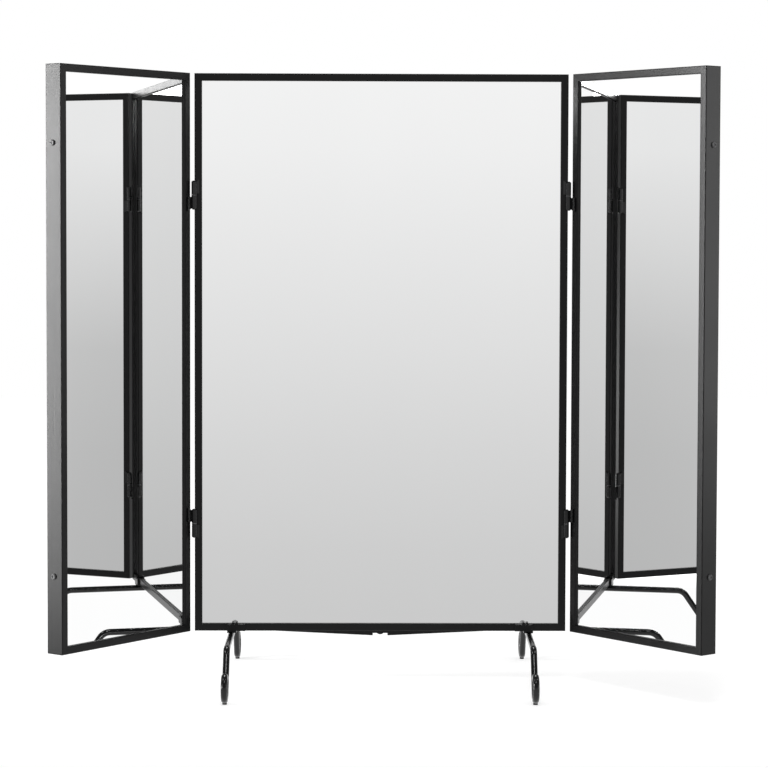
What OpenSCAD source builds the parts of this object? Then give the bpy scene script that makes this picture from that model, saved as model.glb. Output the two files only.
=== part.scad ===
// Three-part table mirror: a centre mirror on two scrolled rod feet,
// with a side mirror hung on each edge by two barrel hinges.
// Lengths are in millimetres and angles in degrees.
// The origin is on the table, under the middle of the whole mirror.
// +X is to the right, +Y to the back and +Z up.

/* [Frames] */
// Height of all three frames
frame_h = 677; // [500:1:900]
// Width of the centre frame
centre_w = 452; // [448:1:600]
// Width of each side frame
wing_w = 219.8; // [150:0.1:221]
// Depth of the frames from front to back
frame_d = 24; // [23:0.5:40]
// Width of the front lip that borders each glass
lip_w = 9; // [8:0.5:16]
// Thickness of the steel angle that the frames are made of
steel_t = 3; // [2:0.5:3.5]
// Broken edge on the outer corners of the steel angle
edge_break = 0.5; // [0.2:0.1:0.9]
// Play between a frame's wall and the panel inside it
panel_fit = 1; // [0.5:0.1:1.5]

/* [Mirror panels] */
// Thickness of the mirror glass
glass_t = 3; // [3:0.5:4]
// Thickness of the mounting tape between glass and board
tape_t = 1; // [0.8:0.1:1.5]
// Width of a strip of mounting tape
tape_w = 20; // [10:1:30]
// Distance from the glass edge to the nearest strip of tape
tape_margin = 25; // [15:1:35]
// Thickness of the backing board
board_t = 12; // [10:0.5:12]
// Broken edge round the back of the backing board
board_break = 1; // [0.5:0.1:2]

/* [Panel screws] */
// Distance from the end of a side mirror's upright bar to its screw
screw_inset = 90; // [60:1:120]
// Distance from the side of the centre frame to its nearest screw
end_inset = 25; // [15:1:26]
// Diameter of a panel screw's shank
screw_d = 3.5; // [3:0.1:4]
// Length of a panel screw under its head
screw_len = 18; // [12:1:24]
// Diameter of a panel screw's head
screw_head_d = 7; // [6:0.1:8]
// Height of a panel screw's head
screw_head_h = 2; // [1.5:0.1:2.2]
// Play round a screw's shank in its hole
screw_fit = 0.1; // [0.05:0.05:0.3]

/* [Hinges] */
// Angle that the left side mirror is swung forward from flat
left_swing = 52; // [0:0.1:120]
// Angle that the right side mirror is swung forward from flat
right_swing = 51.4; // [0:0.1:120]
// Gap between the centre frame and a side frame that lies flat
frame_gap = 3.2; // [3:0.1:8]
// Distance of the hinge axis from the centre frame's side
axis_side = 0.2; // [0.1:0.1:1.6]
// Play between a hinge barrel and the plane of the frames' fronts
barrel_fit = 0.15; // [0.15:0.05:0.5]
// Diameter of a hinge barrel
barrel_d = 6.5; // [6:0.1:6.6]
// Diameter of a hinge pin
pin_d = 3.2; // [2.5:0.1:3.6]
// Running play round a hinge pin, on the radius
pin_fit = 0.05; // [0.03:0.01:0.08]
// Length of one hinge knuckle
knuckle_len = 17; // [14:0.5:22]
// Solid end of a knuckle beyond its bore
knuckle_cap = 3; // [2:0.5:4]
// Chamfer round the closed end of a knuckle
knuckle_chamfer = 1.4; // [0.8:0.1:1.6]
// Thickness of the washer between two knuckles
washer_t = 1; // [0.6:0.1:1.5]
// Play between the washer and the knuckle above it
washer_play = 0.1; // [0.05:0.05:0.3]
// Thickness of a hinge leaf
leaf_t = 2; // [1.5:0.1:2.4]
// Reach of a hinge leaf onto the frame's front
leaf_reach = 6; // [4:0.5:7.5]
// Distance from the ends of a knuckle to its leaf
leaf_inset = 1.5; // [1:0.5:3]
// Rise of a leaf's upper edge, from the barrel to its far end
leaf_slope = 4.5; // [2:0.5:5]
// Height of the lower hinges above the bottom of the frames
hinge_low = 132; // [80:1:200]
// Distance of the upper hinges below the top of the frames
hinge_drop = 147; // [80:1:200]

/* [Feet] */
// Distance from the centre frame's side to the nearest foot
foot_inset = 44; // [36:1:60]
// Angle that the left foot is turned from square, its front end inwards
left_foot_turn = 0; // [-2:0.1:2]
// Angle that the right foot is turned from square, its front end inwards
right_foot_turn = 0.8; // [-2:0.1:2]
// Height of the frames' bottoms above the table
frame_lift = 63; // [55:1:90]
// Diameter of the foot rod
rod_d = 8; // [6:0.1:8.6]
// Distance from the middle of the frame's depth to a foot's contact
foot_reach = 154; // [130:1:190]
// Outer diameter of the scroll at each end of a foot
scroll_d = 35; // [30:0.5:40]
// Angle that the scroll turns through
scroll_turn = 285; // [240:1:290]
// Slope of a foot's legs, down from level
leg_angle = 55; // [45:1:65]
// Radius of the bend between top rod and leg
bend_r = 15; // [10:0.5:20]
// Extra thickness of the rod, on the radius, where it is bent
straight_ease = 0.03; // [0.02:0.01:0.05]
// Lap of a straight length of rod into the bend beside it
straight_lap = 0.5; // [0.3:0.1:0.7]
// Chamfer of the rod's cut ends
end_chamfer = 0.9; // [0.5:0.1:1.5]
// Diameter of the pad under each scroll
pad_d = 5.5; // [4:0.1:6]
// Thickness of the pad under the scroll
pad_t = 1.2; // [0.8:0.1:2]
// Height that the pad rises round the rod
pad_wrap = 1.2; // [0.8:0.1:1.6]

/* [Foot clips] */
// Width of the clip that holds a foot to the centre frame
clip_w = 22; // [20:0.5:30]
// Width of the part of the clip that the rod is seated in
saddle_w = 11.4; // [10:0.1:13]
// Thickness of the clip's flange beside the rod
flange_t = 1.2; // [1.1:0.1:2]
// Distance from the front of the frame to the flange
flange_inset = 8; // [6:0.5:10]
// Thickness of the clip
clip_t = 2.6; // [2:0.1:3]
// Depth of the seat for the rod in the clip's underside
clip_seat = 0.4; // [0.2:0.05:0.6]
// Width of the clip beyond the rod's axis, on its outer side
clip_margin = 4.5; // [4:0.1:6]
// Distance from the clip's outer side to its first prong
prong_start = 5.9; // [3:0.1:8]
// Distance from the first prong to the second
prong_pitch = 4.3; // [3.5:0.1:8]
// Width of each hooked prong at the top of the clip
prong_w = 2.4; // [2:0.1:3]
// Height that the prongs stand above the frame's lip
prong_t = 1.2; // [1:0.1:2]
// Play between a clip and the frame's lip, and the glass behind it
clip_fit = 0.3; // [0.2:0.05:0.6]
// Diameter of a clip screw's shank
clip_screw_d = 4; // [3:0.1:4]
// Diameter of a clip screw's head
clip_head_d = 6; // [5:0.1:6]
// Distance between the two screws of a clip
clip_pitch = 8; // [7:0.5:9]

/* [Bottom crest] */
// Distance between the end of the crest and the middle of the foot beside it
crest_gap = 27; // [22:1:100]
// Depth of the crest at its two ends
crest_tip = 0.4; // [0.3:0.1:0.8]
// Depth of the crest at its middle
crest_drop = 7.2; // [5:0.1:8]
// Half the width of the notch in the middle of the crest
crest_notch = 9; // [8:0.5:14]
// Depth of the web that is left above the notch
crest_web = 4.3; // [3:0.1:4.6]
// Diameter of the disc whose rim is the bead in the middle of the notch
crest_bead_d = 11.4; // [10:0.1:12]
// Distance from the front of the frame to the crest
crest_inset = 10.5; // [0:0.5:20]
// Step from the crest's faces back to those of the bead
bead_step = 0.2; // [0.1:0.1:0.5]

/* [Hidden] */

$fn = 48;
black_steel = [0.09, 0.09, 0.1];
dark_screw = [0.16, 0.16, 0.17];
mirror_grey = [0.82, 0.84, 0.86];
board_black = [0.13, 0.12, 0.12];
foam_grey = [0.55, 0.55, 0.56];
rubber_black = [0.05, 0.05, 0.05];

// A cut runs this far past the surface that it opens
over = 1;

// The cross recess of a screw, and the rounding of a pan head, as shares
// of the head's width and height
recess_width = 0.16;
recess_length = 0.6;
recess_depth = 0.5;
head_round = 0.45;

// Depths behind the plane of the frames' fronts
glass_y = steel_t;
tape_y = glass_y + glass_t;
board_y = tape_y + tape_t;
screw_y = board_y + board_t / 2;

// The hinge axis, and where a side frame starts beyond it
barrel_r = barrel_d / 2;
axis_x = -centre_w / 2 - axis_side;
axis_front = barrel_r + barrel_fit;
wing_start = frame_gap - axis_side;
wing_end = wing_start + wing_w;
knuckle_gap = washer_t + washer_play;
hinge_high = frame_h - hinge_drop;

// A foot's distance from the middle, and its rod, in the plane of the foot,
// measured from the table
foot_x = centre_w / 2 - foot_inset;
rod_r = rod_d / 2;
rod_z = frame_lift - clip_t + clip_seat - rod_r;
scroll_r = (scroll_d - rod_d) / 2;
scroll_z = pad_t + scroll_d / 2;
leg_start = foot_reach - scroll_r * sin(leg_angle);
leg_low_z = scroll_z - scroll_r * cos(leg_angle);
leg_rise = rod_z - leg_low_z;
knee = leg_start - leg_rise / tan(leg_angle);
bend_tangent = bend_r * tan(leg_angle / 2);
top_half = knee - bend_tangent + straight_lap;

// Half the length of the crest, which ends short of the feet
crest_half = foot_x - crest_gap;

// Reach of a side mirror before the plane of the fronts
function swing_reach(swing) = axis_front * (1 - cos(swing)) + wing_end * sin(swing);

// The whole mirror's reach before and behind the plane of the fronts
front_reach = max(
    swing_reach(left_swing),
    swing_reach(right_swing),
    foot_reach + scroll_d / 2 - frame_d / 2
);
back_reach = frame_d / 2 + foot_reach + scroll_d / 2;
front_y = (front_reach - back_reach) / 2;

// Puts a piece of the centre, drawn from the bottom of its frame's front
module on_centre() {
    translate([0, front_y, frame_lift])
        children();
}

// Swings a piece of a side mirror, drawn as it lies flat on the left
module on_wing(swing) {
    on_centre()
        translate([axis_x, -axis_front, 0])
            rotate([0, 0, swing])
                translate([-axis_x, axis_front, 0])
                    children();
}

// Section of the steel angle: x runs in from the outer side, y runs back
module angle_section() {
    polygon([
        [edge_break, 0],
        [lip_w - edge_break / 2, 0],
        [lip_w, edge_break / 2],
        [lip_w, steel_t],
        [steel_t, steel_t],
        [steel_t, frame_d],
        [edge_break / 2, frame_d],
        [0, frame_d - edge_break / 2],
        [0, edge_break]
    ]);
}

// A bar of steel angle along +Z, mitred at both ends
module mitred_bar(length) {
    difference() {
        linear_extrude(length)
            angle_section();
        mitre_cut();
        translate([0, 0, length])
            mirror([0, 0, 1])
                mitre_cut();
    }
}

// The waste below a 45 degree mitre that starts on the bar's outer corner
module mitre_cut() {
    waste = lip_w + over;
    translate([0, frame_d + over, 0])
        rotate([90, 0, 0])
            linear_extrude(frame_d + 2 * over)
                polygon([[-over, -over], [waste, -over], [waste, waste]]);
}

// One welded frame with its lower left front corner at the origin
module welded_frame(width) {
    mitred_bar(frame_h);
    translate([width, 0, 0])
        mirror([1, 0, 0])
            mitred_bar(frame_h);
    translate([width, 0, 0])
        rotate([0, -90, 0])
            mitred_bar(width);
    translate([0, 0, frame_h])
        rotate([0, 90, 0])
            mitred_bar(width);
}

// A slab that lies in a frame, with play all round
module panel_slab(width, depth_y, thickness) {
    inset = steel_t + panel_fit;
    translate([inset, depth_y, inset])
        cube([width - 2 * inset, thickness, frame_h - 2 * inset]);
}

// The board, with its back edges broken and a pilot hole for each screw
module backing_board(width) {
    inset = steel_t + panel_fit;
    back = board_y + board_t;
    step = board_break;
    difference() {
        translate([inset, 0, inset])
            union() {
                translate([0, board_y, 0])
                    cube([width - 2 * inset, board_t - step, frame_h - 2 * inset]);
                translate([step, back - step, step])
                    cube([width - 2 * (inset + step), step, frame_h - 2 * (inset + step)]);
            }
        children();
    }
}

// Two strips of tape, near the long sides of a panel
module tape_strips(width) {
    inset = steel_t + panel_fit;
    height = frame_h - 2 * (inset + tape_margin);
    for (x = [inset + tape_margin, width - inset - tape_margin - tape_w])
        translate([x, tape_y, inset + tape_margin])
            cube([tape_w, tape_t, height]);
}

// A pan head screw along +Z, its head's seat at z = 0 and its head below
module pan_screw(shank_d, length, head_d, head_h) {
    dome = head_h * head_round;
    slot_w = head_d * recess_width;
    slot_l = head_d * recess_length;
    slot_depth = head_h * recess_depth;
    difference() {
        union() {
            cylinder(d = shank_d, h = length);
            rotate_extrude()
                polygon([
                    [0, 0],
                    [head_d / 2, 0],
                    [head_d / 2, dome - head_h],
                    [head_d / 2 - dome, -head_h],
                    [0, -head_h]
                ]);
        }
        for (turn = [0, 90])
            rotate([0, 0, turn])
                translate([-slot_l / 2, -slot_w / 2, -head_h - over])
                    cube([slot_l, slot_w, slot_depth + over]);
    }
}

// A countersunk screw along +Z, its head flush with z = 0
module flush_screw(shank_d, length, head_d) {
    cone_h = (head_d - shank_d) / 2;
    slot_w = head_d * recess_width;
    slot_l = head_d * recess_length;
    difference() {
        rotate_extrude()
            polygon([
                [0, 0],
                [head_d / 2, 0],
                [shank_d / 2, cone_h],
                [shank_d / 2, length],
                [0, length]
            ]);
        for (turn = [0, 90])
            rotate([0, 0, turn])
                translate([-slot_l / 2, -slot_w / 2, -over])
                    cube([slot_l, slot_w, cone_h * recess_depth + over]);
    }
}

module flush_screw_hole(shank_d, length, head_d) {
    hole_r = shank_d / 2 + screw_fit;
    mouth_r = head_d / 2 + screw_fit;
    rotate_extrude()
        polygon([
            [0, -over],
            [mouth_r, -over],
            [mouth_r, 0],
            [hole_r, mouth_r - hole_r],
            [hole_r, length + screw_fit],
            [0, length + screw_fit]
        ]);
}

// A panel screw whose head lies flush in the frame
module flush_panel_screw() {
    flush_screw(screw_d, screw_len, screw_head_d);
}

module flush_panel_screw_hole() {
    flush_screw_hole(screw_d, screw_len, screw_head_d);
}

// A panel screw whose head stands on the frame
module pan_panel_screw() {
    pan_screw(screw_d, screw_len, screw_head_d, screw_head_h);
}

module pan_panel_screw_hole() {
    translate([0, 0, -over])
        cylinder(d = screw_d + 2 * screw_fit, h = screw_len + over + screw_fit);
}

// Sets screws, drawn along +Z, through a side mirror's outer bar
module at_outer_screws() {
    for (z = [screw_inset, frame_h - screw_inset])
        translate([0, screw_y, z])
            rotate([0, 90, 0])
                children();
}

// Sets screws through a side mirror's bar beside the hinges
module at_inner_screws() {
    for (z = [screw_inset, frame_h - screw_inset])
        translate([wing_w, screw_y, z])
            rotate([0, -90, 0])
                children();
}

// Sets screws through the top and bottom bars of the centre frame
module at_end_screws() {
    for (x = [end_inset, centre_w - end_inset]) {
        translate([x, screw_y, 0])
            children();
        translate([x, screw_y, frame_h])
            rotate([180, 0, 0])
                children();
    }
}

// Shifts a panel that is drawn from its corner to the centre's place
module centre_place() {
    on_centre()
        translate([-centre_w / 2, 0, 0])
            children();
}

// Shifts a panel that is drawn from its corner to the left wing's place
module left_place() {
    wing_place(left_swing)
        children();
}

module right_place() {
    mirror([1, 0, 0])
        wing_place(right_swing)
            children();
}

module wing_place(swing) {
    on_wing(swing)
        translate([axis_x - wing_end, 0, 0])
            children();
}

module centre_frame() {
    color(black_steel)
        difference() {
            centre_place()
                welded_frame(centre_w);
            centre_place()
                at_end_screws()
                    flush_panel_screw_hole();
            for (side = [0, 1])
                mirror([side, 0, 0])
                    at_clip_screws()
                        clip_screw_hole();
        }
}

module wing_screw_holes() {
    at_outer_screws()
        pan_panel_screw_hole();
    at_inner_screws()
        flush_panel_screw_hole();
}

module wing_frame() {
    difference() {
        welded_frame(wing_w);
        wing_screw_holes();
    }
}

module centre_glass() {
    color(mirror_grey)
        centre_place()
            panel_slab(centre_w, glass_y, glass_t);
}

module wing_glass() {
    color(mirror_grey)
        panel_slab(wing_w, glass_y, glass_t);
}

module centre_mirror_tape() {
    color(foam_grey)
        centre_place()
            tape_strips(centre_w);
}

module wing_mirror_tape() {
    color(foam_grey)
        tape_strips(wing_w);
}

module centre_backing_board() {
    color(board_black)
        centre_place()
            backing_board(centre_w)
                at_end_screws()
                    flush_panel_screw_hole();
}

module wing_backing_board() {
    color(board_black)
        backing_board(wing_w)
            wing_screw_holes();
}

module centre_panel_screws() {
    color(dark_screw)
        centre_place()
            at_end_screws()
                flush_panel_screw();
}

module wing_panel_screws() {
    color(dark_screw) {
        at_outer_screws()
            pan_panel_screw();
        at_inner_screws()
            flush_panel_screw();
    }
}

// The crest: two tapered strips with a notch and a bead between them
module bottom_crest() {
    outline = [
        [crest_half, 0],
        [crest_half, -crest_tip],
        [crest_notch, -crest_drop],
        [crest_notch, -crest_web],
        [-crest_notch, -crest_web],
        [-crest_notch, -crest_drop],
        [-crest_half, -crest_tip],
        [-crest_half, 0]
    ];
    color(black_steel)
        on_centre()
            union() {
                translate([0, crest_inset + steel_t, 0])
                    rotate([90, 0, 0])
                        linear_extrude(steel_t)
                            polygon(outline);
                translate([0, crest_inset + steel_t - bead_step, -bead_step])
                    rotate([90, 180, 0])
                        rotate_extrude(angle = 180)
                            square([crest_bead_d / 2, steel_t - 2 * bead_step]);
            }
}

// Moves a hinge to its axis, with the split between its knuckles at z = 0
module at_hinge(split_z) {
    translate([axis_x, -axis_front, split_z])
        children();
}

// A knuckle that stands on z = 0 with its bore open below and its leaf to +X
module knuckle(leaf_start) {
    bore_r = pin_d / 2 + pin_fit;
    high = knuckle_len - 2 * leaf_inset;
    end = leaf_start + leaf_reach;
    difference() {
        union() {
            rotate_extrude()
                polygon([
                    [0, 0],
                    [barrel_r, 0],
                    [barrel_r, knuckle_len - knuckle_chamfer],
                    [barrel_r - knuckle_chamfer, knuckle_len],
                    [0, knuckle_len]
                ]);
            translate([0, axis_front, 0])
                rotate([90, 0, 0])
                    linear_extrude(leaf_t)
                        polygon([[0, leaf_inset], [end, leaf_inset], [end, high + leaf_slope], [0, high]]);
        }
        translate([0, 0, -over])
            cylinder(r = bore_r, h = knuckle_len - knuckle_cap + over);
    }
}

// The knuckle welded to the centre frame; up = 1 puts it above the split
module centre_knuckle(split_z, up) {
    color(black_steel)
        on_centre()
            at_hinge(split_z)
                mirror([0, 0, 1 - up])
                    translate([0, 0, knuckle_gap / 2])
                        knuckle(axis_side);
}

// The knuckle welded to a side frame, above or below the split
module wing_knuckle(swing, split_z, up) {
    color(black_steel)
        on_wing(swing)
            at_hinge(split_z)
                mirror([0, 0, 1 - up])
                    translate([0, 0, knuckle_gap / 2])
                        mirror([1, 0, 0])
                            knuckle(wing_start);
}

// A pin that fills both bores, a little short of their ends
module hinge_pin(split_z) {
    length = 2 * (knuckle_len - knuckle_cap) + knuckle_gap - 2 * washer_play;
    color(dark_screw)
        on_centre()
            at_hinge(split_z - length / 2)
                cylinder(d = pin_d, h = length);
}

// A washer that lies on the lower knuckle
module hinge_washer(split_z) {
    color(dark_screw)
        on_centre()
            at_hinge(split_z - knuckle_gap / 2)
                difference() {
                    cylinder(r = barrel_r - pin_fit, h = washer_t);
                    translate([0, 0, -over])
                        cylinder(r = pin_d / 2 + pin_fit, h = washer_t + 2 * over);
                }
}

// Half of a foot's rod in the plane of the foot: x runs out, z runs up
module half_rod() {
    top = knee - bend_tangent;
    leg_len = leg_rise / sin(leg_angle) - bend_tangent;
    translate([top, 0, rod_z - bend_r])
        rotate([90, 0, 0])
            rod_arc(bend_r, 90 - leg_angle, leg_angle);
    translate([leg_start, 0, leg_low_z])
        rotate([0, leg_angle - 90, 0])
            translate([0, 0, -straight_lap])
                cylinder(r = rod_r - straight_ease, h = leg_len + 2 * straight_lap);
    translate([foot_reach, 0, scroll_z])
        rotate([90, 0, 0])
            scroll_arc();
}

// A bent length of rod that starts at an angle and turns anticlockwise
module rod_arc(radius, start, turn) {
    rotate([0, 0, start])
        rotate_extrude(angle = turn)
            translate([radius, 0])
                circle(r = rod_r);
}

// The scroll: an arc from the leg's low end, out, up and back over,
// with its cut end chamfered
module scroll_arc() {
    start = 270 - leg_angle;
    rod_arc(scroll_r, start, scroll_turn);
    base_r = rod_r - straight_ease;
    rotate([0, 0, start + scroll_turn])
        translate([scroll_r, -straight_lap, 0])
            rotate([-90, 0, 0])
                cylinder(r1 = base_r, r2 = rod_r - end_chamfer, h = straight_lap + end_chamfer);
}

// Puts a foot, drawn along +X from its middle, under the left of the frame
module at_left_foot(turn) {
    translate([-foot_x, front_y + frame_d / 2, 0])
        rotate([0, 0, 90 + turn])
            children();
}

module foot(turn) {
    color(black_steel)
        at_left_foot(turn)
            union() {
                translate([-top_half, 0, rod_z])
                    rotate([0, 90, 0])
                        cylinder(r = rod_r - straight_ease, h = 2 * top_half);
                half_rod();
                mirror([1, 0, 0])
                    half_rod();
            }
}

module foot_pads(turn) {
    color(rubber_black)
        at_left_foot(turn)
            for (side = [0, 1])
                mirror([side, 0, 0])
                    difference() {
                        translate([foot_reach, 0, 0])
                            cylinder(d = pad_d, h = pad_t + pad_wrap);
                        translate([foot_reach, 0, scroll_z])
                            rotate([90, 0, 0])
                                rotate_extrude()
                                    translate([scroll_r, 0])
                                        circle(r = rod_r + pin_fit);
                    }
}

// Puts clip screws, drawn along +Z, under the left of the centre frame
module at_clip_screws() {
    x = -foot_x - clip_margin + (saddle_w + clip_w) / 2;
    middle = (flange_inset + frame_d) / 2;
    for (y = [middle - clip_pitch / 2, middle + clip_pitch / 2])
        on_centre()
            translate([x, y, -flange_t])
                children();
}

module clip_screw_hole() {
    flush_screw_hole(clip_screw_d, flange_t + steel_t + over, clip_head_d);
}

module foot_screws() {
    color(dark_screw)
        at_clip_screws()
            flush_screw(clip_screw_d, flange_t + steel_t, clip_head_d);
}

// The clip: an upstand before the bottom bar's lip with two prongs that hook
// over it, and under the bar a saddle for the rod and a flange for the screws
module foot_clip(turn) {
    top = lip_w + clip_fit + prong_t;
    hook = steel_t - clip_fit;
    color(black_steel)
        difference() {
            on_centre()
                translate([-foot_x - clip_margin, 0, 0])
                    rotate([90, 0, 90])
                        union() {
                            linear_extrude(clip_w)
                                polygon([[0, 0], [0, lip_w], [-clip_t, lip_w - clip_t / 2], [-clip_t, 0]]);
                            linear_extrude(saddle_w)
                                polygon([
                                    [frame_d, 0],
                                    [0, 0],
                                    [0, lip_w / 2],
                                    [-clip_t, lip_w / 2],
                                    [-clip_t, -clip_t / 2],
                                    [-clip_t / 2, -clip_t],
                                    [frame_d, -clip_t]
                                ]);
                            translate([flange_inset, -flange_t, saddle_w - over])
                                cube([frame_d - flange_inset, flange_t, clip_w - saddle_w + over]);
                            for (x = [prong_start, prong_start + prong_pitch])
                                translate([0, 0, x])
                                    linear_extrude(prong_w)
                                        polygon([
                                            [0, lip_w - clip_t],
                                            [0, lip_w + clip_fit],
                                            [hook, lip_w + clip_fit],
                                            [hook, top],
                                            [-clip_t, top],
                                            [-clip_t, lip_w - clip_t]
                                        ]);
                        }
            at_left_foot(turn)
                translate([-frame_d, 0, rod_z])
                    rotate([0, 90, 0])
                        cylinder(r = rod_r, h = 2 * frame_d);
            at_clip_screws()
                clip_screw_hole();
        }
}

centre_frame();
centre_glass();
centre_mirror_tape();
centre_backing_board();
centre_panel_screws();
bottom_crest();
color(black_steel) left_place() wing_frame();  // left_frame
left_place() wing_glass();  // left_glass
left_place() wing_mirror_tape();  // left_mirror_tape
left_place() wing_backing_board();  // left_backing_board
left_place() wing_panel_screws();  // left_panel_screws
color(black_steel) right_place() wing_frame();  // right_frame
right_place() wing_glass();  // right_glass
right_place() wing_mirror_tape();  // right_mirror_tape
right_place() wing_backing_board();  // right_backing_board
right_place() wing_panel_screws();  // right_panel_screws
centre_knuckle(hinge_high, 1);  // left_top_hinge_centre_knuckle
wing_knuckle(left_swing, hinge_high, 0);  // left_top_hinge_wing_knuckle
hinge_pin(hinge_high);  // left_top_hinge_pin
hinge_washer(hinge_high);  // left_top_hinge_washer
centre_knuckle(hinge_low, 0);  // left_bottom_hinge_centre_knuckle
wing_knuckle(left_swing, hinge_low, 1);  // left_bottom_hinge_wing_knuckle
hinge_pin(hinge_low);  // left_bottom_hinge_pin
hinge_washer(hinge_low);  // left_bottom_hinge_washer
mirror([1, 0, 0]) centre_knuckle(hinge_high, 1);  // right_top_hinge_centre_knuckle
mirror([1, 0, 0]) wing_knuckle(right_swing, hinge_high, 0);  // right_top_hinge_wing_knuckle
mirror([1, 0, 0]) hinge_pin(hinge_high);  // right_top_hinge_pin
mirror([1, 0, 0]) hinge_washer(hinge_high);  // right_top_hinge_washer
mirror([1, 0, 0]) centre_knuckle(hinge_low, 0);  // right_bottom_hinge_centre_knuckle
mirror([1, 0, 0]) wing_knuckle(right_swing, hinge_low, 1);  // right_bottom_hinge_wing_knuckle
mirror([1, 0, 0]) hinge_pin(hinge_low);  // right_bottom_hinge_pin
mirror([1, 0, 0]) hinge_washer(hinge_low);  // right_bottom_hinge_washer
foot(left_foot_turn);  // left_foot
foot_clip(left_foot_turn);  // left_foot_clip
foot_screws();  // left_foot_screws
foot_pads(left_foot_turn);  // left_foot_pads
mirror([1, 0, 0]) foot(right_foot_turn);  // right_foot
mirror([1, 0, 0]) foot_clip(right_foot_turn);  // right_foot_clip
mirror([1, 0, 0]) foot_screws();  // right_foot_screws
mirror([1, 0, 0]) foot_pads(right_foot_turn);  // right_foot_pads
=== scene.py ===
import math
import bpy
from mathutils import Matrix, Vector

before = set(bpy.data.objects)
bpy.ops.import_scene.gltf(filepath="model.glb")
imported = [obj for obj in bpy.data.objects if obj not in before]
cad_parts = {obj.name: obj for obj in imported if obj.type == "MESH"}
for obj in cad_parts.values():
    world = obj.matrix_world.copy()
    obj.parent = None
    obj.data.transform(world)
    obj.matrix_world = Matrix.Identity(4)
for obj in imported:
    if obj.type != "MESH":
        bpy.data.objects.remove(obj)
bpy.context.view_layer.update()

scene = bpy.context.scene

# The camera, fitted to the photograph: its place and clipping in metres, its
# turns in degrees, and its focal length and centre row in pixels
FOCAL_PX = 2475.05
IMAGE_PX = 768.0
CENTRE_ROW = 344.18
SENSOR_MM = 36.0
CAMERA_PLACE = (-0.0276, -3.00296, 0.5539)
CAMERA_PAN = -0.597
CAMERA_TILT = 90.0 - 2.686
CAMERA_ROLL = 0.163
NEAR_CLIP = 0.05
FAR_CLIP = 60.0

cam_data = bpy.data.cameras.new("camera")
cam_data.sensor_fit = "HORIZONTAL"
cam_data.sensor_width = SENSOR_MM
cam_data.lens = FOCAL_PX / IMAGE_PX * SENSOR_MM
cam_data.shift_y = (CENTRE_ROW - IMAGE_PX / 2) / IMAGE_PX
cam_data.clip_start = NEAR_CLIP
cam_data.clip_end = FAR_CLIP
camera = bpy.data.objects.new("camera", cam_data)
scene.collection.objects.link(camera)
camera.matrix_world = (
    Matrix.Translation(CAMERA_PLACE)
    @ Matrix.Rotation(math.radians(CAMERA_PAN), 4, "Z")
    @ Matrix.Rotation(math.radians(CAMERA_TILT), 4, "X")
    @ Matrix.Rotation(math.radians(CAMERA_ROLL), 4, "Z")
)
scene.camera = camera


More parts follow.
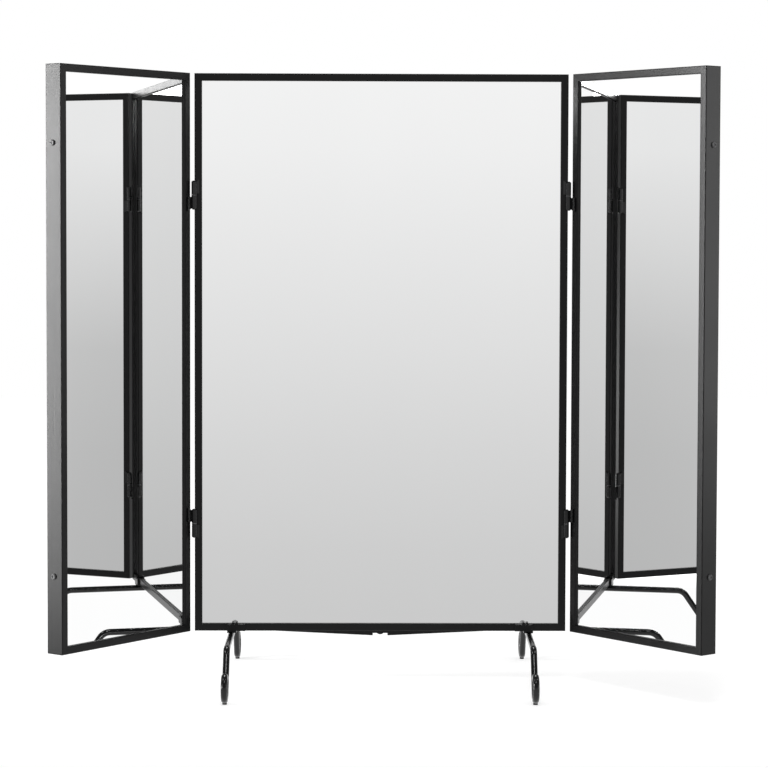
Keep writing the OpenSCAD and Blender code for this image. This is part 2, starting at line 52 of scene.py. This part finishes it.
# Helpers for the materials and the world
class Graph:
    """The node tree of a material or world, with short calls for its nodes."""

    def __init__(self, owner, end):
        owner.use_nodes = True
        self.owner = owner
        self.tree = owner.node_tree
        self.tree.nodes.clear()
        self.output = self.tree.nodes.new(end)
        self.coordinates = self.tree.nodes.new("ShaderNodeTexCoord").outputs
        self.place = self.coordinates["Object"]

    @classmethod
    def material(cls, name):
        return cls(bpy.data.materials.new(name), "ShaderNodeOutputMaterial")

    @classmethod
    def world(cls, name):
        return cls(bpy.data.worlds.new(name), "ShaderNodeOutputWorld")

    def put(self, value, socket):
        """Links an output to the socket, or writes a plain value into it."""
        if isinstance(value, bpy.types.NodeSocket):
            self.tree.links.new(value, socket)
        else:
            socket.default_value = value

    def node(self, kind, inputs=None, **settings):
        made = self.tree.nodes.new(kind)
        for key, value in settings.items():
            setattr(made, key, value)
        for key, value in (inputs or {}).items():
            self.put(value, made.inputs[key])
        return made

    def noise(self, scale, detail=4.0, rough=0.55, stretch=(1, 1, 1), distort=0.0):
        spread = self.node("ShaderNodeMapping", {"Vector": self.place, "Scale": stretch})
        made = self.node(
            "ShaderNodeTexNoise",
            {"Vector": spread.outputs[0], "Scale": scale, "Detail": detail,
             "Roughness": rough, "Distortion": distort},
        )
        return made.outputs["Fac"]

    def cells(self, scale):
        made = self.node("ShaderNodeTexVoronoi", {"Vector": self.place, "Scale": scale}, feature="F1")
        return made.outputs["Distance"]

    def remap(self, value, low, high, to_low=0.0, to_high=1.0):
        made = self.node(
            "ShaderNodeMapRange",
            {"Value": value, "From Min": low, "From Max": high, "To Min": to_low, "To Max": to_high},
        )
        return made.outputs["Result"]

    def math(self, operation, a, b=0.0):
        return self.node("ShaderNodeMath", {0: a, 1: b}, operation=operation).outputs[0]

    def mix(self, factor, a, b):
        made = self.node("ShaderNodeMix", data_type="RGBA")
        for name, value in (("Factor_Float", factor), ("A_Color", a), ("B_Color", b)):
            self.put(value, next(s for s in made.inputs if s.identifier == name))
        return next(s for s in made.outputs if s.identifier == "Result_Color")

    def ramp(self, factor, stops):
        """A run of greys, from pairs of a place between 0 and 1 and a grey."""
        made = self.node("ShaderNodeValToRGB", {"Fac": factor})
        band = made.color_ramp
        for end, (place, value) in ((0, stops[0]), (1, stops[-1])):
            band.elements[end].position = place
            band.elements[end].color = grey(value)
        for place, value in stops[1:-1]:
            band.elements.new(place).color = grey(value)
        return made.outputs["Color"]

    def bump(self, height, strength, distance, normal=None):
        inputs = {"Height": height, "Strength": strength, "Distance": distance}
        if normal is not None:
            inputs["Normal"] = normal
        return self.node("ShaderNodeBump", inputs).outputs["Normal"]

    def camera_rays(self):
        return self.node("ShaderNodeLightPath").outputs["Is Camera Ray"]

    def reflected_rays(self):
        """1 for rays that gloss or glass sends on, and 0 for all others."""
        path = self.node("ShaderNodeLightPath").outputs
        return self.math("MAXIMUM", path["Is Glossy Ray"], path["Is Transmission Ray"])

    def principled(self, **inputs):
        made = self.node("ShaderNodeBsdfPrincipled", {k.replace("_", " "): v for k, v in inputs.items()})
        return self.finish(made.outputs[0])

    def finish(self, surface):
        self.tree.links.new(surface, self.output.inputs["Surface"])
        return self.owner


def grey(value):
    return (value, value, value, 1.0)


# The part of a noise's range that most of its values lie in, and its core
NOISE_RANGE = (0.3, 0.7)
NOISE_CORE = (0.35, 0.65)


# The materials
def powder_coat():
    """Black semi-gloss powder coat: a fine orange peel with faint mottling."""
    g = Graph.material("powder_coat_black")
    dark, light = (0.0022, 0.0022, 0.0024, 1), (0.0038, 0.0038, 0.004, 1)
    peel = g.noise(scale=900.0, detail=3.0, rough=0.5)
    slow = g.noise(scale=14.0, detail=3.0, rough=0.6)
    specks = g.cells(scale=1600.0)
    colour = g.mix(g.remap(slow, *NOISE_CORE), dark, light)
    rough = g.math(
        "ADD",
        g.remap(slow, *NOISE_RANGE, 0.285, 0.315),
        g.remap(peel, *NOISE_RANGE, -0.003, 0.005),
    )
    rounded = g.node("ShaderNodeBevel", {"Radius": 0.0015}, samples=6).outputs["Normal"]
    grain = g.bump(peel, strength=0.03, distance=0.0004, normal=rounded)
    normal = g.bump(specks, strength=0.01, distance=0.0003, normal=grain)
    return g.principled(Base_Color=colour, Roughness=rough, Normal=normal, Specular_IOR_Level=0.2)


def rod_coat():
    """The same coat on the rods and hinges, where it lies smoother."""
    g = Graph.material("powder_coat_rod")
    dark, light = (0.004, 0.004, 0.0043, 1), (0.007, 0.007, 0.0073, 1)
    peel = g.noise(scale=700.0, detail=3.0, rough=0.5)
    slow = g.noise(scale=30.0, detail=2.0, rough=0.6)
    colour = g.mix(g.remap(slow, *NOISE_CORE), dark, light)
    rough = g.math(
        "ADD",
        g.remap(slow, *NOISE_RANGE, 0.12, 0.18),
        g.remap(peel, *NOISE_RANGE, -0.02, 0.02),
    )
    normal = g.bump(peel, strength=0.12, distance=0.0005)
    return g.principled(Base_Color=colour, Roughness=rough, Normal=normal, Specular_IOR_Level=0.35)


def silvered_glass():
    """Silvered float glass with a trace of dust and wiped streaks."""
    g = Graph.material("silvered_glass")
    clean, wiped = (0.898, 0.9, 0.9, 1), (0.89, 0.892, 0.892, 1)
    streaks = g.noise(scale=9.0, detail=5.0, rough=0.6, stretch=(1.0, 1.0, 0.25), distort=0.6)
    dust = g.cells(scale=520.0)
    haze = g.math(
        "ADD",
        g.remap(streaks, 0.45, 0.75, 0.0, 0.006),
        g.remap(dust, 0.0, 0.1, 0.003, 0.0),
    )
    colour = g.mix(g.remap(streaks, 0.3, 0.8), clean, wiped)
    return g.principled(Base_Color=colour, Roughness=haze, Metallic=1.0)


def painted_board():
    """Fibreboard with a thin matt black coat that lets the fibres show."""
    g = Graph.material("painted_fibreboard")
    dark, light = (0.018, 0.016, 0.015, 1), (0.045, 0.041, 0.037, 1)
    fibres = g.noise(scale=420.0, detail=6.0, rough=0.7, stretch=(1.0, 1.0, 0.35))
    cloud = g.noise(scale=11.0, detail=4.0, rough=0.6)
    tone = g.math(
        "ADD",
        g.remap(fibres, *NOISE_RANGE, 0.0, 0.5),
        g.remap(cloud, *NOISE_RANGE, 0.0, 0.5),
    )
    colour = g.mix(tone, dark, light)
    rough = g.remap(fibres, *NOISE_RANGE, 0.62, 0.86)
    normal = g.bump(fibres, strength=0.35, distance=0.0006)
    return g.principled(Base_Color=colour, Roughness=rough, Normal=normal, Specular_IOR_Level=0.3)


def turned_steel(name, dark, light, rough_low, rough_high):
    """Blackened or bare turned steel with fine tool marks."""
    g = Graph.material(name)
    marks = g.noise(scale=1500.0, detail=3.0, rough=0.6, stretch=(1.0, 1.0, 6.0))
    blotch = g.noise(scale=160.0, detail=4.0, rough=0.6)
    colour = g.mix(g.remap(blotch, *NOISE_CORE), dark, light)
    rough = g.remap(marks, *NOISE_RANGE, rough_low, rough_high)
    normal = g.bump(marks, strength=0.15, distance=0.0002)
    return g.principled(Base_Color=colour, Roughness=rough, Normal=normal, Metallic=0.85)


def foam_tape():
    """Closed-cell foam with a fine open skin on its cut sides."""
    g = Graph.material("foam_tape")
    dark, light = (0.44, 0.44, 0.45, 1), (0.58, 0.58, 0.58, 1)
    bubbles = g.cells(scale=900.0)
    cloud = g.noise(scale=60.0, detail=3.0)
    colour = g.mix(g.remap(cloud, *NOISE_RANGE), dark, light)
    rough = g.remap(bubbles, 0.0, 0.6, 0.95, 0.8)
    normal = g.bump(bubbles, strength=0.4, distance=0.0005)
    return g.principled(Base_Color=colour, Roughness=rough, Normal=normal)


def rubber():
    """Matt black rubber with a fine moulded grain."""
    g = Graph.material("pad_rubber")
    dark, light = (0.012, 0.012, 0.012, 1), (0.03, 0.03, 0.03, 1)
    grain = g.noise(scale=1300.0, detail=4.0, rough=0.65)
    colour = g.mix(g.remap(grain, *NOISE_RANGE), dark, light)
    rough = g.remap(grain, *NOISE_RANGE, 0.6, 0.8)
    normal = g.bump(grain, strength=0.25, distance=0.0003)
    return g.principled(Base_Color=colour, Roughness=rough, Normal=normal, Specular_IOR_Level=0.3)


coat = powder_coat()
rod = rod_coat()
silver = silvered_glass()
board = painted_board()
screw_steel = turned_steel(
    "screw_blackened", dark=(0.10, 0.10, 0.102, 1), light=(0.15, 0.15, 0.152, 1),
    rough_low=0.52, rough_high=0.66,
)
pin_steel = turned_steel(
    "pin_turned", dark=(0.34, 0.34, 0.35, 1), light=(0.44, 0.44, 0.45, 1),
    rough_low=0.22, rough_high=0.38,
)
foam = foam_tape()
pad = rubber()

# The finish of the pieces whose names end so, where all others get the coat
FINISH = {
    "foot": rod,
    "knuckle": rod,
    "glass": silver,
    "mirror_tape": foam,
    "backing_board": board,
    "panel_screws": screw_steel,
    "foot_screws": screw_steel,
    "pin": pin_steel,
    "washer": screw_steel,
    "foot_pads": pad,
}
for name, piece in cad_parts.items():
    finish = coat
    for ending, material in FINISH.items():
        if name.endswith("_" + ending):
            finish = material
    if not piece.data.materials:
        piece.data.materials.append(finish)
    for slot in piece.material_slots:
        slot.link = "OBJECT"
        slot.material = finish


# The floor: its edges, its own greys, what the camera sees added to them, and
# the glow strengths that only reflected rays see (a painted reflection and a
# painted sheen), with where each gives way to the next
FLOOR_FRONT = -0.47
FLOOR_BACK = 5.0
FLOOR_SIDE = 4.0
FLOOR_PAINT = (0.55, 0.57)
FLOOR_LIFT = 0.62
FLOOR_PAINTED_REFLECTION_FRONT = 0.66
FLOOR_PAINTED_REFLECTION = 1.1
FLOOR_FRONT_FADE = (-0.40, -0.30)
FLOOR_PAINTED_SHEEN = 11.0
FLOOR_PAINTED_SHEEN_FADE = (-2.2, -0.6)


def floor_material():
    """A white table top that keeps the object's shadow.

    In mirrors and gloss it shows a glow instead of its lit paint: a painted
    reflection that turns grey towards its front edge, and far out on the left
    a bright painted sheen that lights the left wing's outer face in gloss.
    """
    g = Graph.material("floor_white")
    fine = g.noise(scale=35.0, detail=3.0)
    paint = g.mix(g.remap(fine, *NOISE_RANGE), *map(grey, FLOOR_PAINT))
    matt = g.node("ShaderNodeBsdfDiffuse", {"Color": paint})
    seen = g.math("MULTIPLY", g.camera_rays(), FLOOR_LIFT)
    lift = g.node("ShaderNodeEmission", {"Color": grey(1.0), "Strength": seen})
    plain = g.node("ShaderNodeAddShader", {0: matt.outputs[0], 1: lift.outputs[0]})
    spot = g.node("ShaderNodeSeparateXYZ", {0: g.place}).outputs
    # Painted reflection: mirrors and gloss see a set grey glow here, darker towards the front edge,
    # instead of the floor's lit paint
    near = g.remap(spot["Y"], *FLOOR_FRONT_FADE, FLOOR_PAINTED_REFLECTION_FRONT, FLOOR_PAINTED_REFLECTION)
    # Painted sheen: a strong glow far out on the left, seen only by reflected rays, that gives the sheen
    # low on the left wing's outer face
    painted_sheen = g.remap(spot["X"], *FLOOR_PAINTED_SHEEN_FADE, FLOOR_PAINTED_SHEEN, 0.0)
    tone = g.math("ADD", near, painted_sheen)
    reflected = g.node("ShaderNodeEmission", {"Color": grey(1.0), "Strength": tone})
    both = g.node(
        "ShaderNodeMixShader",
        {0: g.reflected_rays(), 1: plain.outputs[0], 2: reflected.outputs[0]},
    )
    return g.finish(both.outputs[0])


corners = [
    (-FLOOR_SIDE, FLOOR_FRONT, 0.0),
    (FLOOR_SIDE, FLOOR_FRONT, 0.0),
    (FLOOR_SIDE, FLOOR_BACK, 0.0),
    (-FLOOR_SIDE, FLOOR_BACK, 0.0),
]
floor_mesh = bpy.data.meshes.new("floor")
floor_mesh.from_pydata(corners, [], [(0, 1, 2, 3)])
floor = bpy.data.objects.new("floor", floor_mesh)
floor.data.materials.append(floor_material())
scene.collection.objects.link(floor)

# Each lamp: its name, place, aim, width, height and radiance
LAMPS = (
    ("soft_left", (-2.75, -0.23, 0.66), (-0.3, -0.15, 0.66), 0.22, 1.30, 62.0),
    ("soft_left_high", (-2.75, -0.27, 0.91), (-0.3, -0.15, 0.91), 0.18, 0.90, 40.0),
    ("soft_above", (0.0, -1.45, 2.45), (0.0, -0.1, 0.04), 0.60, 0.40, 20.0),
    ("soft_right", (2.75, -0.36, 0.66), (0.3, -0.15, 0.66), 0.45, 1.30, 5.0),
)


def area_lamp(name, place, aim, width, height, radiance):
    """A soft box whose face has the given radiance."""
    data = bpy.data.lights.new(name, "AREA")
    data.shape = "RECTANGLE"
    data.size = width
    data.size_y = height
    data.energy = radiance * math.pi * width * height
    lamp = bpy.data.objects.new(name, data)
    way = Vector(aim) - Vector(place)
    lamp.matrix_world = Matrix.Translation(place) @ way.to_track_quat("-Z", "Y").to_matrix().to_4x4()
    lamp.visible_camera = False
    scene.collection.objects.link(lamp)


for lamp_facts in LAMPS:
    area_lamp(*lamp_facts)

# The greys that reflected rays see before the mirror, from pairs of the slope
# of the ray and a grey: straight ahead, and to either side of that
GREY_FOOT = -0.20
GREY_TOP = 0.10
GREY_AHEAD = (
    (-0.20, 0.645), (-0.158, 0.66), (-0.13, 0.685), (-0.09, 0.744), (-0.049, 0.818),
    (-0.009, 0.888), (0.0316, 0.961), (0.055, 0.987), (0.10, 1.02),
)
GREY_ASIDE = (
    (-0.20, 0.54), (-0.13, 0.545), (-0.09, 0.545), (-0.049, 0.59),
    (-0.009, 0.80), (0.0316, 1.0), (0.10, 1.04),
)
# What they see at the sides, overhead and behind the mirror, and the light
# that the room gives to matt surfaces
SIDE_TONE = 1.12
OVERHEAD_TONE = 0.2
BEHIND_TONE = 0.6
ROOM_LIGHT = 0.72
# Where one tone gives way to the next: by the slope for overhead, and by the
# cosine of the angle from straight ahead for the others
OVERHEAD_FADE = (0.10, 0.30)
ASIDE_TO_AHEAD = (0.91, 0.985)
SIDE_TO_ASIDE = (0.45, 0.70)
BEHIND_TO_SIDE = (-0.70, -0.45)
# The least level share of a ray's direction, so that none is divided by zero
LEAST_LEVEL = 0.02


def studio_world():
    """White to the camera, even light to matt surfaces, and tones to reflected rays."""
    g = Graph.world("studio")
    way = g.node("ShaderNodeSeparateXYZ", {0: g.coordinates["Generated"]}).outputs
    squares = g.math(
        "ADD",
        g.math("MULTIPLY", way["X"], way["X"]),
        g.math("MULTIPLY", way["Y"], way["Y"]),
    )
    level = g.math("MAXIMUM", g.math("SQRT", squares), LEAST_LEVEL)
    slope = g.math("DIVIDE", way["Z"], level)
    front = g.math("MULTIPLY", g.math("DIVIDE", way["Y"], level), -1.0)
    spread = g.remap(slope, GREY_FOOT, GREY_TOP)

    def greys(steps):
        stops = [((at - GREY_FOOT) / (GREY_TOP - GREY_FOOT), value) for at, value in steps]
        return g.ramp(spread, stops)

    before = g.mix(g.remap(front, *ASIDE_TO_AHEAD), greys(GREY_ASIDE), greys(GREY_AHEAD))
    around = g.mix(g.remap(front, *SIDE_TO_ASIDE), grey(SIDE_TONE), before)
    room = g.mix(g.remap(slope, *OVERHEAD_FADE), around, grey(OVERHEAD_TONE))
    reflected = g.mix(g.remap(front, *BEHIND_TO_SIDE), grey(BEHIND_TONE), room)
    lit = g.mix(g.reflected_rays(), grey(ROOM_LIGHT), reflected)
    shown = g.mix(g.camera_rays(), lit, grey(1.0))
    background = g.node("ShaderNodeBackground", {"Color": shown, "Strength": 1.0})
    return g.finish(background.outputs[0])


scene.world = studio_world()
scene.view_settings.view_transform = "Standard"
